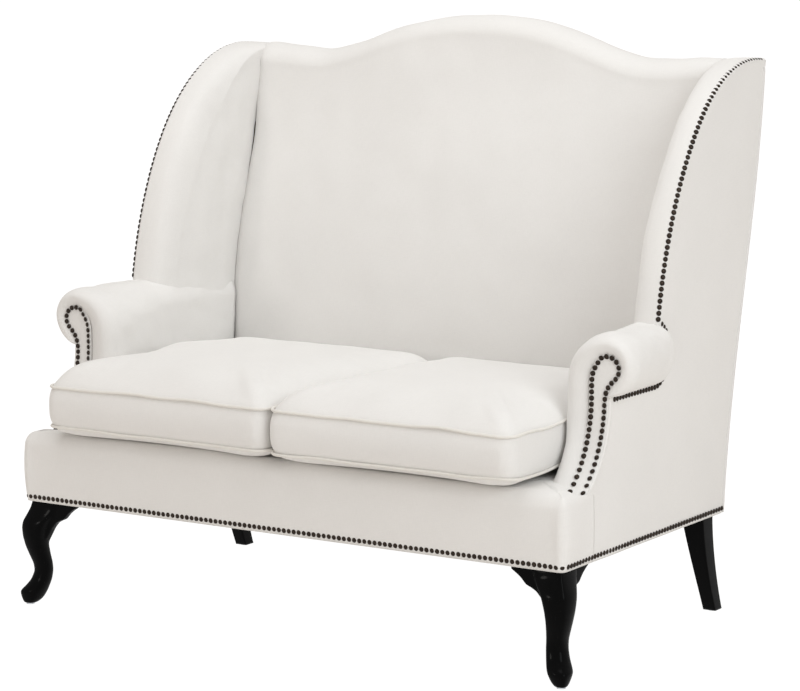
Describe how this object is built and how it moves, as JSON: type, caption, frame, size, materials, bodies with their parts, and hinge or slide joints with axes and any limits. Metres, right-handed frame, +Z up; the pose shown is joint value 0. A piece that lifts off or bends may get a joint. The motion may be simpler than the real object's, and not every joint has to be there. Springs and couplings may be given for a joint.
{
  "type": "high back settee",
  "caption": "High back wing settee with a camel back, rolled arms, lift-out seat cushions, nailed trim and cabriole front legs.",
  "frame": {"origin": "on the floor under the middle of the settee's box, cushions and top of the back included", "axes": "+Z up, the front faces -Y, +X to the right of someone who stands in front"},
  "size_m": [1.432, 0.8937, 1.248],
  "materials": {
    "ivory_cloth": "fine woven ivory upholstery cloth over padding",
    "cushion_cloth": "fine woven ivory cloth over a soft filling",
    "welt_cloth": "ivory cloth sewn over a thin cord",
    "deck_cloth": "plain ivory cloth over a felt pad",
    "dust_cloth": "thin black non-woven cloth",
    "jute": "coarse woven jute",
    "frame_timber": "sawn hardwood, unfinished",
    "black_lacquer": "turned and carved hardwood under gloss black lacquer",
    "nail_heads": "domed heads with a dark bronze finish",
    "steel": "bright drawn steel"
  },
  "bodies": {
    "settee": {"front_seat_rail": "frame_timber", "back_seat_rail": "frame_timber", "side_seat_rail_left": "frame_timber", "side_seat_rail_right": "frame_timber", "centre_seat_brace": "frame_timber", "corner_blocks": "frame_timber", "arm_post_left": "frame_timber", "arm_post_right": "frame_timber", "arm_top_rail_left": "frame_timber", "arm_top_rail_right": "frame_timber", "back_post_left": "frame_timber", "back_post_right": "frame_timber", "wing_frame_left": "frame_timber", "wing_frame_right": "frame_timber", "top_back_rail": "frame_timber", "lower_back_rail": "frame_timber", "back_slat": "frame_timber", "seat_springs": "steel", "spring_clips": "steel", "seat_hessian": "jute", "back_webbing": "jute", "seat_deck_pad": "deck_cloth", "front_border": "ivory_cloth", "inside_back": "ivory_cloth", "outside_back": "ivory_cloth", "inside_arm_left": "ivory_cloth", "inside_arm_right": "ivory_cloth", "arm_facing_left": "ivory_cloth", "arm_facing_right": "ivory_cloth", "inside_wing_left": "ivory_cloth", "inside_wing_right": "ivory_cloth", "side_panel_left": "ivory_cloth", "side_panel_right": "ivory_cloth", "dust_cover": "dust_cloth", "front_nails": "nail_heads", "side_nails_left": "nail_heads", "side_nails_right": "nail_heads", "wing_nails_left": "nail_heads", "wing_nails_right": "nail_heads", "arm_nails_left": "nail_heads", "arm_nails_right": "nail_heads", "underarm_nails_left": "nail_heads", "underarm_nails_right": "nail_heads", "front_leg_left": "black_lacquer", "front_leg_right": "black_lacquer", "back_leg_left": "black_lacquer", "back_leg_right": "black_lacquer", "leg_bolts": "steel", "leg_glides": "steel"},
    "left_cushion": {"seat_cushion_left": "cushion_cloth", "cushion_welts_left": "welt_cloth"},
    "right_cushion": {"seat_cushion_right": "cushion_cloth", "cushion_welts_right": "welt_cloth"}
  },
  "joints": [
    {"name": "left_cushion_lift", "type": "slide", "parent": "settee", "child": "left_cushion", "axis": [0, 0, 1], "range_m": [0, 0.25]},
    {"name": "right_cushion_lift", "type": "slide", "parent": "settee", "child": "right_cushion", "axis": [0, 0, 1], "range_m": [0, 0.25]}
  ]
}
